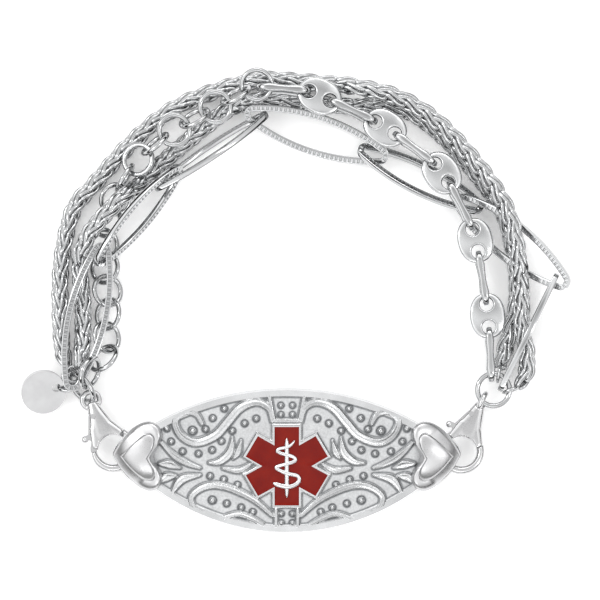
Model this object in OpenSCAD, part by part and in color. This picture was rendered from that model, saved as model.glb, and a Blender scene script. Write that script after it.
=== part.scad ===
// Medical alert bracelet: a curved, engraved plaque with a red six-armed star, a heart-fronted
// loop at each end, two lobster clasps, and four strands of chain gathered on a ring at each end.
// It lies on its side on a table: X runs along the plaque, Y away from the plaque, Z is up.

/* [Plaque] */
// Length of the plaque's lens-shaped plate, tip to tip
plate_len = 46.6; // [42:0.1:52]
// Width of the plate at its middle
plate_wid = 19.8; // [17:0.1:23]
// Thickness of the plate
plate_thick = 1.2; // [1:0.05:1.6]
// Radius that the plate is bent to, round the wrist
bend_rad = 60; // [52:0.5:80]
// Width of the polished rim
rim_wid = 0.8; // [0.6:0.05:1.1]
// Height of the rim above the ground
rim_high = 0.35; // [0.2:0.05:0.6]
// Angle at which the plaque leans back from upright on its ends
plaque_tilt = 19; // [15:0.5:23]
// Height of the middle of the plaque's face above the table
plaque_rise = 8.25; // [8:0.05:9.5]

/* [Star] */
// Length of one arm of the star from the middle
star_arm = 5.5; // [4.8:0.1:6]
// Width of one arm of the star
star_wid = 3.35; // [2.8:0.05:3.8]
// Distance of the star's middle below the middle of the plate
star_drop = 0.7; // [0:0.1:1]
// Width of the silver line round the star
star_line = 0.35; // [0.25:0.05:0.5]
// Depth of the enamel
enamel_deep = 0.45; // [0.3:0.05:0.6]
// Gap between the enamel and the metal
enamel_gap = 0.03; // [0.02:0.005:0.05]

/* [Hearts] */
// Length of a heart from its tip to its lobes
heart_len = 6.9; // [6.4:0.1:7.4]
// Width of a heart across its lobes
heart_wid = 9.3; // [8.6:0.1:10]
// Distance of a heart's middle from the middle of the plate
heart_at = 20.5; // [20:0.1:21]
// Width of the bevelled border round the raised heart
heart_border = 0.85; // [0.6:0.05:1.1]
// Height of the heart above the plate at its crown
heart_high = 1.9; // [1.4:0.1:2.4]
// Radius of the tunnel behind a heart that the clasp's loop runs through
tunnel_rad = 1.25; // [1.15:0.05:1.3]
// Width of the strap that closes the tunnel at the back
strap_wid = 1.5; // [1.3:0.1:2]
// Thickness of that strap
strap_thick = 0.65; // [0.5:0.05:0.8]

/* [Clasps] */
// Diameter of the wire of a clasp's hook
hook_wire = 1.1; // [0.9:0.05:1.2]
// Radius of the hook's loop to the middle of its wire
hook_rad = 2.65; // [2.6:0.05:2.9]
// Distance from the eye to the middle of the hook's loop
hook_reach = 7.45; // [7.2:0.05:7.8]
// Thickness of the clasp's body
clasp_thick = 2.2; // [2:0.05:2.6]
// Outer diameter of the clasp's eye
eye_dia = 3; // [2.6:0.1:3.2]
// Diameter of the hole in the eye
eye_hole = 1.7; // [1.6:0.05:1.8]
// Thickness of the lever
lever_thick = 0.9; // [0.7:0.05:1]
// Gap on each side of the lever in its slot
lever_gap = 0.13; // [0.1:0.01:0.2]
// Diameter of the lever's rivet
rivet_dia = 0.7; // [0.6:0.05:0.9]
// Radial clearance of the rivet in the lever
rivet_gap = 0.04; // [0.03:0.01:0.08]
// Diameter of the ball on the lever
ball_dia = 1.0; // [0.8:0.05:1.05]

/* [Rings] */
// Wire of the large rings that gather the strands
gather_wire = 0.75; // [0.65:0.05:0.85]
// Outer diameter of the large rings
gather_dia = 5.2; // [5:0.1:5.5]
// Outer diameter of the small ring of the tag
tag_ring_dia = 3.6; // [3.4:0.1:4]
// Wire of the small ring of the tag
tag_ring_wire = 0.5; // [0.45:0.05:0.7]
// Diameter of the round tag
tag_dia = 6.2; // [5.8:0.1:6.6]
// Thickness of the tag
tag_thick = 0.7; // [0.5:0.05:0.9]

/* [Chains] */
// Diameter of a wheat chain
wheat_dia = 2.5; // [2.2:0.05:2.5]
// Wire of the single link at each end of a wheat chain
wheat_end_wire = 0.45; // [0.4:0.05:0.5]
// Outer diameter of that link
wheat_end_dia = 2.6; // [2.5:0.05:2.8]
// Outer diameter of a cable link
cable_dia = 4.9; // [4.8:0.05:5]
// Wire of a cable link
cable_wire = 0.7; // [0.6:0.05:0.8]
// Width of a marquise link across its middle
marquise_wid = 5.9; // [5.6:0.1:6.1]
// Width of the flat wire of a marquise link
marquise_wire = 0.85; // [0.8:0.05:1]
// Thickness of the flat wire of a marquise link
marquise_thick = 0.75; // [0.6:0.05:0.9]
// Length of a puffed disc
disc_len = 6.3; // [6.1:0.1:6.4]
// Width of a puffed disc
disc_wid = 5; // [4.6:0.1:5.3]
// Thickness of a puffed disc in its middle
disc_thick = 1.3; // [1:0.1:1.5]
// Thickness of a puffed disc at its edge
disc_edge = 0.55; // [0.4:0.05:0.7]
// Diameter of the two holes in a disc
disc_hole = 2.1; // [2:0.05:2.15]
// Metal left between a hole and the end of the disc
disc_rim = 0.5; // [0.45:0.05:0.55]
// Length of a waisted connector between two discs
bow_len = 7.7; // [7.5:0.05:7.8]
// Height of a connector
bow_high = 2.8; // [2.6:0.1:3]
// Thickness of a connector's metal
bow_wire = 0.6; // [0.5:0.05:0.7]
// Width of a connector's metal at its ends
bow_end = 0.85; // [0.7:0.05:0.9]
// Width of a connector's metal at its two swellings
bow_wid = 1.2; // [1.05:0.05:1.25]
// Width of a connector's metal at its waist
bow_waist = 0.9; // [0.7:0.05:1.05]

/* [Hidden] */
$fn = 48;

steel = "#c9cbcd";
dark_steel = "#a9abad";
enamel_red = "#8f261e";

// Shift that puts the middle of the bracelet's box on the origin
middle = [0.58, 0.33, 0.1];

// Small overlap that fuses two shapes of one solid
fuse = 0.1;

// Small shapes in one plane

// Bar with round ends of radius r1 at p and r2 at q
module bar(p, q, r1, r2) {
    d = norm(q - p);
    a = atan2(q.y - p.y, q.x - p.x);
    lean = acos((r1 - r2) / d);
    translate(p) circle(r = r1);
    translate(q) circle(r = r2);
    polygon([p + r1 * [cos(a + lean), sin(a + lean)], q + r2 * [cos(a + lean), sin(a + lean)],
             q + r2 * [cos(a - lean), sin(a - lean)], p + r1 * [cos(a - lean), sin(a - lean)]]);
}

// Lens with pointed ends, drawn in by a border
module lens(length, width, border) {
    rad = (length * length / 4 + width * width / 4) / width;
    intersection() {
        translate([0, width / 2 - rad]) circle(r = rad - border, $fn = 120);
        translate([0, rad - width / 2]) circle(r = rad - border, $fn = 120);
    }
}

// Lens whose ends are rounded by arcs that touch both sides
module round_lens(length, width, tip, border) {
    reach = length / 2 - tip;
    rise = width / 2;
    rad = (reach * reach + rise * rise - tip * tip) / (2 * (rise - tip));
    turn = atan2(rad - rise, reach);
    function on(mid, r, a) = mid + (r - border) * [cos(a), sin(a)];
    polygon(concat(
        [for (k = [0:8]) on([reach, 0], tip, turn * (k / 4 - 1))],
        [for (k = [1:15]) on([0, rise - rad], rad, turn + (180 - 2 * turn) * k / 16)],
        [for (k = [0:8]) on([-reach, 0], tip, 180 + turn * (k / 4 - 1))],
        [for (k = [1:15]) on([0, rad - rise], rad, 180 + turn + (180 - 2 * turn) * k / 16)]));
}

// Smooth line through points, each row [x, y, width] or [x, y, z]
function spline(p, a, b, c, d) =
    let (t = p, u = t * t, w = u * t)
    0.5 * ((2 * b) + (c - a) * t + (2 * a - 5 * b + 4 * c - d) * u + (3 * b - a - 3 * c + d) * w);
function smooth(rows, steps) = concat(
    [for (i = [0:len(rows) - 2])
        for (s = [0:steps - 1])
            let (a = rows[max(i - 1, 0)], b = rows[i], c = rows[i + 1])
            let (d = rows[min(i + 2, len(rows) - 1)])
            spline(s / steps, a, b, c, d)],
    [rows[len(rows) - 1]]);

// Wire ring that lies in the XY plane
module wire_ring(outer, wire) {
    rotate_extrude() translate([outer / 2 - wire / 2, 0]) circle(d = wire, $fn = 24);
}

// Puts a piece at a place, turned by azimuth, climb and roll about its own length
module place(row) {
    translate([row[0], row[1], row[2]])
        rotate([0, 0, row[3]])
            rotate([0, -row[4], 0])
                rotate([row[5], 0, 0]) children();
}

// Plaque, drawn flat with its face up, bent about a line below it

plate_rad = (plate_len * plate_len / 4 + plate_wid * plate_wid / 4) / plate_wid;
plaque_at = [-1.8, -23.3, plaque_rise];

// Curved layer between two heights above the plate's face
module layer(low, high) {
    translate([0, 0, -bend_rad]) rotate([90, 0, 0]) difference() {
        cylinder(r = bend_rad + high, h = plate_wid + 6, center = true, $fn = 180);
        cylinder(r = bend_rad + low, h = plate_wid + 8, center = true, $fn = 180);
    }
}

// Shape in one plane cut out of a curved layer
module bent(low, high) {
    intersection() {
        layer(low, high);
        translate([0, 0, -plate_wid]) linear_extrude(2 * plate_wid) children();
    }
}

// Six-armed star, grown by a border
module star(grow = 0) {
    wid = star_wid + 2 * grow;
    arm = star_arm + grow;
    function turned(a, x, y) = [x * cos(a) - y * sin(a), x * sin(a) + y * cos(a) - star_drop];
    polygon([for (a = [0:60:300], p = [[wid / 2, arm], [-wid / 2, arm], [-wid / 2, wid * cos(30)]])
        turned(a, p.x, p.y)]);
}

// Turns the frame of a heart at the right end, face up, tip outwards
heart_turn = asin(heart_at / bend_rad);
module at_heart() {
    translate([heart_at, 0, bend_rad * (cos(heart_turn) - 1)]) rotate([0, heart_turn, 0]) children();
}

// Upper half of a heart's outline from its tip to its cleft, in shares of its length and width
heart_half = [[0.5, 0], [0.46, 0.06], [0.35, 0.19], [0.21, 0.31], [0.06, 0.41], [-0.1, 0.48], [-0.26, 0.5],
              [-0.4, 0.46], [-0.48, 0.38], [-0.49, 0.28], [-0.43, 0.17], [-0.35, 0.08], [-0.31, 0]];
heart_edge = smooth(heart_half, 3);

// Heart with its tip towards +X, made smaller by a share
module heart(share = 1) {
    last = len(heart_edge) - 1;
    function spot(p, side) = share * [p.x * heart_len, side * p.y * heart_wid];
    polygon(concat([for (i = [0:last]) spot(heart_edge[i], 1)],
                   [for (i = [last - 1:-1:1]) spot(heart_edge[i], -1)]));
}

// Outline cut out of a ball, so that it is domed
module domed(low, high, ball) {
    intersection() {
        translate([0, 0, low]) linear_extrude(high - low) children();
        translate([0, 0, high - ball]) sphere(r = ball, $fn = 120);
    }
}

// Place of the tunnel behind a heart, outwards from the heart's middle and below its face
heart_seat = 0.5;
tunnel_out = heart_len / 2 - tunnel_rad - 0.6;
mouth_rad = tunnel_rad + 0.35;
tunnel_down = heart_seat + tunnel_rad + 0.65;

// Heart on its bail, the block behind it that the tunnel runs through
module heart_and_bail() {
    domed(-heart_seat, 0.55 * heart_high, 1.25 * heart_wid) heart();
    domed(-heart_seat, heart_high, 0.75 * heart_wid) heart(1 - 2 * heart_border / heart_wid);
    rotate([90, 0, 0]) linear_extrude(strap_wid, center = true) {
        wall = tunnel_rad + strap_thick;
        bar([-0.1 * heart_len, -tunnel_down + 0.6], [tunnel_out, -tunnel_down], wall - 0.4, wall);
        translate([-0.35 * heart_len, -tunnel_down]) square([0.35 * heart_len + tunnel_out, tunnel_down]);
        translate([tunnel_out, -tunnel_down]) square([wall, tunnel_down - heart_seat + fuse]);
    }
}

// Room behind the heart that the clasp's loop runs through
module tunnel() {
    rotate([90, 0, 0]) linear_extrude(heart_wid, center = true)
        bar([tunnel_out - 0.4, -tunnel_down], [tunnel_out, -tunnel_down], tunnel_rad, tunnel_rad);
    for (side = [-1, 1]) translate([0, side * (strap_wid + heart_wid) / 2, 0])
        rotate([90, 0, 0]) linear_extrude(heart_wid, center = true)
            bar([tunnel_out - 0.8, -tunnel_down], [tunnel_out, -tunnel_down], mouth_rad, mouth_rad);
}

// Puts the plaque in its leaning place
module at_plaque() {
    translate(plaque_at) rotate([plaque_tilt, 0, 0]) children();
}

module id_plaque() {
    color(steel) at_plaque() difference() {
        union() {
            bent(-plate_thick, 0) lens(plate_len, plate_wid, 0);
            bent(-fuse, rim_high) difference() {
                lens(plate_len, plate_wid, 0);
                lens(plate_len, plate_wid, rim_wid);
            }
            bent(-fuse, rim_high) star(star_line);
            for (side = [0, 1]) mirror([side, 0, 0]) at_heart() heart_and_bail();
        }
        bent(-enamel_deep, rim_high + 1) star();
        for (side = [0, 1]) mirror([side, 0, 0]) at_heart() tunnel();
    }
}

module enamel_star() {
    color(enamel_red) at_plaque() bent(enamel_gap - enamel_deep, rim_high - 0.12) star(-enamel_gap);
}

// Clasps, each drawn with its eye at the origin and its hook towards +X

// Middle of the hook's loop, and the angles where the fixed hook starts and ends
hook_mid = [hook_reach, 0.45];
hook_start = 150;
hook_end = -98;
lever_pivot = [2.3, -0.55];
// Places of the two clasps: eye [x, y, z] and azimuth
clasp_left = [-28.85, -14.3, 2.15, -69];
clasp_right = [25.1, -14.45, 2.15, -116];

// Part of the loop's circle between two angles
module loop_arc(from, to, wide) {
    step = (to - from) / 12;
    translate(hook_mid) intersection() {
        difference() {
            circle(r = hook_rad + wide / 2, $fn = 96);
            circle(r = hook_rad - wide / 2, $fn = 96);
        }
        polygon(concat([[0, 0]], [for (i = [0:12])
            2 * hook_rad * [cos(from + i * step), sin(from + i * step)]]));
    }
}

// Outline of the body between the eye and the loop
module clasp_outline() {
    difference() {
        union() {
            bar([0.9, 0], [4.7, 0.05], 0.85, 1.9);
            bar([4.2, -0.75], [6.1, -1.5], 1.15, 0.75);
            bar([4.4, 0.9], [5.6, 1.9], 1.1, 0.9);
        }
        translate(hook_mid) circle(r = hook_rad - hook_wire / 2, $fn = 96);
    }
}

// Room that the lever turns in
module lever_slot() {
    bar(lever_pivot, [6.9, -1.9], 0.75, 0.9);
    bar(lever_pivot, [6.6, -0.1], 0.75, 0.9);
    bar([3.2, -1.6], [5.6, -3.1], 0.6, 1.4);
}

module clasp_body(turn) {
    color(steel) difference() {
        union() {
            linear_extrude(clasp_thick, center = true) clasp_outline();
            linear_extrude(hook_wire, center = true) loop_arc(hook_end, hook_start, hook_wire);
            rotate([turn, 0, 0]) cylinder(d = eye_dia, h = hook_wire, center = true);
        }
        rotate([turn, 0, 0]) cylinder(d = eye_hole, h = 2 * clasp_thick, center = true);
        linear_extrude(lever_thick + 2 * lever_gap, center = true) lever_slot();
        translate(lever_pivot) cylinder(d = rivet_dia + 0.04, h = 2 * clasp_thick, center = true);
        if (turn != 0) rotate([turn, 0, 0])
            rotate_extrude() translate([eye_dia / 2, 0]) circle(d = 0.2, $fn = 16);
    }
}

module clasp_lever() {
    color(dark_steel) difference() {
        union() {
            linear_extrude(lever_thick, center = true) {
                bar(lever_pivot, [4.9, -1.65], 0.62, 0.55);
                loop_arc(hook_end - 4, -137, 0.9);
                bar([4.7, -1.6], [4.8, -2.5], 0.4, 0.35);
            }
            translate([4.8, -2.7, 0]) sphere(d = ball_dia);
        }
        translate(lever_pivot) cylinder(d = rivet_dia + 2 * rivet_gap, h = 2 * clasp_thick, center = true);
    }
}

module clasp_rivet() {
    color(dark_steel) translate(lever_pivot) cylinder(d = rivet_dia, h = clasp_thick + 0.1, center = true);
}

module at_clasp(spot) {
    translate([spot[0], spot[1], spot[2]]) rotate([0, 0, spot[3]]) children();
}

// Rings and tag, each row [x, y, z, azimuth, climb, roll]

gather_left = [-30.1, -12.6, 2.6, -49, 0, 65];
gather_right = [26.7, -12.9, 2.6, 0, 0, 8];
tag_ring_spot = [-31.9, -11.85, 1.6, 15, 0, -41];
tag_spot = [-35.45, -13.05, 1.78, 20, 0, 28];

module round_tag() {
    hole = tag_ring_wire + 0.7;
    color(steel) place(tag_spot) difference() {
        cylinder(d = tag_dia, h = tag_thick, center = true, $fn = 72);
        translate([tag_dia / 2 - hole / 2 - 0.6, 0, 0]) cylinder(d = hole, h = 2, center = true);
    }
}

// Wheat chains as round cords of metal with a single link at each end

// Way of the outer chain, each row [x, y, z]
outer_way = [[-31.95, -10.1, 2.05], [-32.9, -7, 1.4], [-33.3, 0, 1.3], [-33, 6, 1.3], [-31.5, 12.5, 1.3],
             [-28.5, 16.2, 1.3], [-23.6, 21.8, 1.3], [-18, 26.5, 1.3], [-12, 29.2, 1.3], [-5.6, 30.8, 1.4],
             [0, 30.6, 1.4], [3.5, 30.2, 1.7], [8, 29.4, 3.6], [14, 27.7, 4], [19.5, 24, 4], [25, 17.6, 4.9],
             [28.4, 12, 6.1], [29.9, 6.3, 6.1], [30.5, 0.8, 4.8], [30.7, -4.5, 3.9], [31.3, -8, 3.4],
             [31.2, -10.6, 3], [30.1, -12.5, 2.65]];
// Way of the inner chain, each row [x, y, z]
inner_way = [[-30.7, -9.8, 2.65], [-30.1, -7, 2.3], [-30, -4, 2], [-30.1, 0, 1.9], [-30.5, 4, 2.3],
             [-30.1, 6.6, 3.7], [-28.6, 9.4, 4.3], [-24.8, 13.6, 4.2], [-22.8, 15.3, 2.8], [-20.9, 17.3, 1.6],
             [-18.4, 19.8, 1.3], [-14.2, 23.4, 1.3], [-10.2, 26.5, 1.3], [-7.6, 27.5, 1.3], [-5, 28, 1.3],
             [-2.4, 28, 1.3], [2.5, 27.4, 1.3], [7, 27.1, 1.3], [13.9, 26.8, 1.3], [19.4, 23.3, 1.3],
             [24.8, 17.2, 1.3], [28.2, 12, 1.3], [29.6, 6.8, 1.3], [30.1, 2, 1.3], [29.8, -1.8, 1.3],
             [29, -5, 1.3], [28.1, -7.9, 1.8], [27.6, -9.7, 2.55]];
// Single links at the ends of the wheat chains, each row [x, y, z, azimuth, climb, roll]
outer_ends = [[-31.75, -11, 2.1, 104, 0, 15], [29.1, -12.95, 2.6, 20, 0, 90]];
inner_ends = [[-31.3, -10.75, 2.8, 57, -8, 5], [27.4, -10.75, 2.85, 80, 0, 90]];

// Tube along a way, narrowed at both ends
tube_sides = 10;
module chain_tube(way) {
    path = smooth(way, 3);
    last = len(path) - 1;
    function ahead(i) = let (v = path[min(i + 1, last)] - path[max(i - 1, 0)]) v / norm(v);
    function girth(i) = wheat_dia / 2 * min(1, 0.4 + 0.1 * min(i, last - i));
    function corner(i, k) =
        let (t = ahead(i), a = 360 * k / tube_sides)
        let (side = cross([0, 0, 1], t) / norm(cross([0, 0, 1], t)), up = cross(t, side))
        path[i] + girth(i) * (cos(a) * side + sin(a) * up);
    points = [for (i = [0:last]) for (k = [0:tube_sides - 1]) corner(i, k)];
    walls = [for (i = [0:last - 1]) for (k = [0:tube_sides - 1])
        let (a = i * tube_sides + k, b = i * tube_sides + (k + 1) % tube_sides)
        [a, a + tube_sides, b + tube_sides, b]];
    lids = [[for (k = [0:tube_sides - 1]) k],
            [for (k = [tube_sides - 1:-1:0]) last * tube_sides + k]];
    polyhedron(points, concat(walls, lids), convexity = 10);
}

module wheat_chain(way, ends) {
    color(steel) {
        chain_tube(way);
        for (e = ends) place(e) wire_ring(wheat_end_dia, wheat_end_wire);
    }
}

// Marquise links, each row [tip, tip, roll]
marquise_rows = [
    [[-31.6, -13.2, 3.5], [-27.1, 7.3, 5], 0], [[-28.1, 4.1, 5], [-16.5, 18.3, 3], 62],
    [[-20.2, 15, 3.3], [-4.5, 25.9, 2.5], -64], [[-7.7, 26.1, 2.9], [12.3, 19.75, 1.5], 22],
    [[8.1, 21.2, 1.6], [25.4, 12.3, 2.2], -34], [[21.7, 14.1, 1.9], [37, 1.1, 5.5], 26],
    [[35.5, 3, 4.85], [27.5, -13.1, 2.6], 88]];
marquise_tip = 1.35;

module marquise_link(i) {
    a = marquise_rows[i - 1][0];
    run = marquise_rows[i - 1][1] - a;
    mid = a + run / 2;
    spot = [mid.x, mid.y, mid.z, atan2(run.y, run.x), asin(run.z / norm(run)), marquise_rows[i - 1][2]];
    color(steel) place(spot) linear_extrude(marquise_thick, center = true) difference() {
        round_lens(norm(run), marquise_wid, marquise_tip, 0);
        round_lens(norm(run), marquise_wid, marquise_tip, marquise_wire);
    }
}

// Way of the cable chain, each row [x, y, z], and the roll of each link
cable_way = [[-28.9, -10.75, 4.5], [-27, -8.4, 2.9], [-26.7, -5, 1.9], [-26.6, 0, 1.6], [-27.1, 4.6, 1.45],
             [-27.2, 8, 1.45], [-26.6, 11.4, 1.45], [-25.4, 14.5, 1.7], [-23.8, 17.6, 2.7], [-21.6, 20, 3.9],
             [-19.3, 21.9, 4], [-16.7, 23.7, 4.2], [-13.9, 25.3, 4.3], [-11, 26.8, 4.5], [-8.4, 28.3, 4.9],
             [-6, 29.4, 5.3]];
cable_rolls = [60, -45, 40, -40, 32, -30, 32, -30, 30, 90, -15, -70, 15, -60, 10, -65, 20];
cable_path = smooth(cable_way, 6);
function way_to(i) = i == 0 ? 0 : way_to(i - 1) + norm(cable_path[i] - cable_path[i - 1]);
cable_long = way_to(len(cable_path) - 1);
function cable_axis(k) = [for (i = [0:len(cable_path) - 1]) [way_to(i), cable_path[i][k]]];
cable_axes = [cable_axis(0), cable_axis(1), cable_axis(2)];
function cable_spot(i) =
    let (s = cable_long * (i - 1) / (len(cable_rolls) - 1))
    [for (k = [0:2]) lookup(s, cable_axes[k])];

module cable_link(i) {
    mid = cable_spot(i);
    run = cable_spot(min(i + 1, len(cable_rolls))) - cable_spot(max(i - 1, 1));
    spot = [mid.x, mid.y, mid.z, atan2(run.y, run.x), atan2(run.z, norm([run.x, run.y])), cable_rolls[i - 1]];
    color(steel) place(spot) wire_ring(cable_dia, cable_wire);
}

// Puffed discs, each row [x, y, z, azimuth, climb, roll]
disc_rows = [
    [2.7, 27.9, 4.6, -24, -2, 0], [11.8, 23.5, 4.2, -32, 0, 0], [19.6, 17, 5, -54, 0, 0],
    [24.2, 7.6, 4.8, -76, -4, 0], [25.9, -2.7, 3.45, -84, -3, 0]];
hole_out = disc_len / 2 - disc_rim - disc_hole / 2;

// Oval, a little fuller than an ellipse
module oval(length, width) {
    function full(v) = sign(v) * pow(abs(v), 0.9);
    polygon([for (a = [0:7.5:352.5]) [full(cos(a)) * length / 2, full(sin(a)) * width / 2]]);
}

module puffed_disc(i) {
    sag = (disc_thick - disc_edge) / 2;
    ball = (disc_len * disc_len / 4 + sag * sag) / (2 * sag);
    color(steel) place(disc_rows[i - 1]) difference() {
        intersection() {
            linear_extrude(disc_thick, center = true) oval(disc_len, disc_wid);
            for (side = [-1, 1]) translate([0, 0, side * (disc_thick / 2 - ball)])
                sphere(r = ball, $fn = 180);
        }
        for (side = [-1, 1]) translate([side * hole_out, 0, 0])
            cylinder(d = disc_hole, h = 2 * disc_thick, center = true);
    }
}

// Middle of the hole at one end of a disc
function hole_spot(i, side) =
    let (r = disc_rows[i - 1], reach = side * hole_out)
    [r[0] + reach * cos(r[3]) * cos(r[4]), r[1] + reach * sin(r[3]) * cos(r[4]), r[2] + reach * sin(r[4])];

// Waisted links: the first joins the cable links, the last the gathering ring
bow_first = [-5.8, 29, 5.1];
bow_last = [26.4, -11.8, 2.85];
bow_rolls = [88, 88, 92, 88, 90, 90];
bow_starts = concat([bow_first], [for (i = [1:5]) hole_spot(i, 1)]);
bow_stops = concat([for (i = [1:5]) hole_spot(i, -1)], [bow_last]);

// Bar with round ends, of one length and height overall
module stadium(length, high) {
    reach = (length - high) / 2;
    polygon([for (side = [1, -1]) for (a = [-90:15:90]) side * [reach + high / 2 * cos(a), high / 2 * sin(a)]]);
}

// Outline of a connector seen from above: narrow ends, two swellings and a waist
module bow_side() {
    half = smooth([[-0.55, bow_end], [-0.4, bow_end], [-0.25, bow_wid], [0, bow_waist],
                   [0.25, bow_wid], [0.4, bow_end], [0.55, bow_end]], 3);
    last = len(half) - 1;
    polygon(concat([for (p = half) [p.x * bow_len, p.y / 2]],
                   [for (i = [last:-1:0]) [half[i].x * bow_len, -half[i].y / 2]]));
}

module waisted_link(i) {
    a = bow_starts[i - 1];
    b = bow_stops[i - 1];
    run = b - a;
    mid = (a + b) / 2;
    spot = [mid.x, mid.y, mid.z, atan2(run.y, run.x), atan2(run.z, norm([run.x, run.y])), bow_rolls[i - 1]];
    color(steel) place(spot) intersection() {
        linear_extrude(bow_wid + 1, center = true) difference() {
            stadium(bow_len, bow_high);
            stadium(bow_len - 2 * bow_wire, bow_high - 2 * bow_wire);
        }
        rotate([90, 0, 0]) linear_extrude(2 * bow_high, center = true) bow_side();
    }
}

translate(middle) {
    id_plaque();
    enamel_star();
    at_clasp(clasp_left) clasp_body(0);  // clasp_body_left
    at_clasp(clasp_right) clasp_body(90);  // clasp_body_right
    at_clasp(clasp_left) clasp_lever();  // clasp_lever_left
    at_clasp(clasp_right) clasp_lever();  // clasp_lever_right
    at_clasp(clasp_left) clasp_rivet();  // clasp_rivet_left
    at_clasp(clasp_right) clasp_rivet();  // clasp_rivet_right
    color(steel) place(gather_left) wire_ring(gather_dia, gather_wire);  // gather_ring_left
    color(steel) place(gather_right) wire_ring(gather_dia, gather_wire);  // gather_ring_right
    color(steel) place(tag_ring_spot) wire_ring(tag_ring_dia, tag_ring_wire);  // tag_ring
    round_tag();
    wheat_chain(outer_way, outer_ends);  // wheat_chain_outer
    wheat_chain(inner_way, inner_ends);  // wheat_chain_inner
    for (i = [1:7]) marquise_link(i);
    for (i = [1:17]) cable_link(i);
    for (i = [1:5]) puffed_disc(i);
    for (i = [1:6]) waisted_link(i);
}
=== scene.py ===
# Looks of a stainless steel medical alert bracelet that lies flat on a table.
import math
import bpy
import numpy as np
from mathutils import Matrix, Vector
from mathutils.geometry import delaunay_2d_cdt


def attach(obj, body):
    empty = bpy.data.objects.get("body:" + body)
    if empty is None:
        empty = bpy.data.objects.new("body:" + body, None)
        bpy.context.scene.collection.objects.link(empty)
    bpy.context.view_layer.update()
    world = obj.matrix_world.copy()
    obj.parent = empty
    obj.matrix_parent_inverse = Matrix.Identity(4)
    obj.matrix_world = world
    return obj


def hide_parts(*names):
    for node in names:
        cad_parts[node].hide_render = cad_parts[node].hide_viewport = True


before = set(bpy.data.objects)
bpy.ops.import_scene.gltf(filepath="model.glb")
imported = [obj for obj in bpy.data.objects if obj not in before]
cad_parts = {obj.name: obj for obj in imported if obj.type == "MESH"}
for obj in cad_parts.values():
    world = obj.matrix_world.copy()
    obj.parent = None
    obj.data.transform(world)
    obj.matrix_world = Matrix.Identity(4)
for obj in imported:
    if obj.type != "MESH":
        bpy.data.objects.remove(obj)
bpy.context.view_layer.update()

# ------------ table and light
# The bracelet lies on a sheet of white acrylic that is lit a little from below, under soft
# studio light. A low dark band round the room gives the polished steel its dark lines, and all
# above it is bright. The camera looks down from the plaque's side.


def colour(code):
    """Turns an sRGB hex value to the linear colour that a shader takes."""
    parts = [int(code[i:i + 2], 16) / 255 for i in (1, 3, 5)]
    return [p / 12.92 if p <= 0.04045 else ((p + 0.055) / 1.055) ** 2.4 for p in parts] + [1.0]


def add_node(tree, kind, settings=None, links=None):
    """Adds a node; settings are properties or sockets, and links lead an input socket to a node
    or to one of its outputs."""
    made = tree.nodes.new(kind)
    for key, value in (settings or {}).items():
        if isinstance(key, str) and hasattr(made, key):
            setattr(made, key, value)
        else:
            made.inputs[key].default_value = value
    for key, source in (links or {}).items():
        tree.links.new(getattr(source, "outputs", [source])[0], made.inputs[key])
    return made


def new_material(name):
    """An empty node material and its tree."""
    material = bpy.data.materials.new(name)
    material.use_nodes = True
    material.node_tree.nodes.clear()
    return material, material.node_tree


def end_material(material, settings, links):
    """Gives a material its surface; what is the same all over it is set on the shader itself."""
    tree = material.node_tree
    shader = add_node(tree, "ShaderNodeBsdfPrincipled", settings, links)
    add_node(tree, "ShaderNodeOutputMaterial", links={"Surface": shader})
    return material


def real_place(tree, per_mm):
    """Noise coordinates from the object's own place, for a pattern of so many steps a mm."""
    place = add_node(tree, "ShaderNodeTexCoord")
    return add_node(tree, "ShaderNodeMapping", {"Scale": (1000 * per_mm,) * 3},
                    {"Vector": place.outputs["Object"]})


def white_acrylic():
    """Opal acrylic sheet: matt and white, its own soft glow, and a faint tone in 50 mm clouds."""
    material, tree = new_material("opal_white_acrylic")
    cloud = add_node(tree, "ShaderNodeTexNoise", {"Scale": 1.0, "Detail": 2.0},
                     {"Vector": real_place(tree, 0.02)})
    tone = add_node(tree, "ShaderNodeValToRGB", links={"Fac": cloud})
    tone.color_ramp.elements[0].color = colour("#fbfbfb")
    tone.color_ramp.elements[1].color = colour("#ffffff")
    glow = {"Emission Color": colour("#ffffff"), "Emission Strength": 0.2}
    return end_material(material, {"Roughness": 0.9, "Specular IOR Level": 0.2, **glow},
                        {"Base Color": tone})


TABLE_SIZE, TABLE_GAP = 3, 0.00005
bpy.ops.mesh.primitive_plane_add(size=TABLE_SIZE, location=(0, 0, -TABLE_GAP))
table = bpy.context.object
table.name = "acrylic_sheet"
table.data.materials.append(white_acrylic())

world = bpy.data.worlds.new("pale_room")
bpy.context.scene.world = world
world.use_nodes = True
sky = world.node_tree
sky.nodes.clear()
aim = add_node(sky, "ShaderNodeTexCoord")
height = add_node(sky, "ShaderNodeSeparateXYZ", links={0: aim.outputs["Generated"]})
# The room's tone from the height of the table, 0, to straight above, 1
room = add_node(sky, "ShaderNodeValToRGB", links={"Fac": height.outputs["Z"]})
room.color_ramp.elements[0].color = colour("#8a8a8a")
room.color_ramp.elements[1].color = colour("#f6f6f6")
for spot, tone in ((0.06, "#303030"), (0.12, "#0c0c0c"), (0.34, "#0e0e0e"), (0.43, "#e6e6e6"),
                   (0.6, "#ffffff"), (0.88, "#ffffff"), (0.95, "#cdcdcd")):
    room.color_ramp.elements.new(spot).color = colour(tone)
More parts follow.
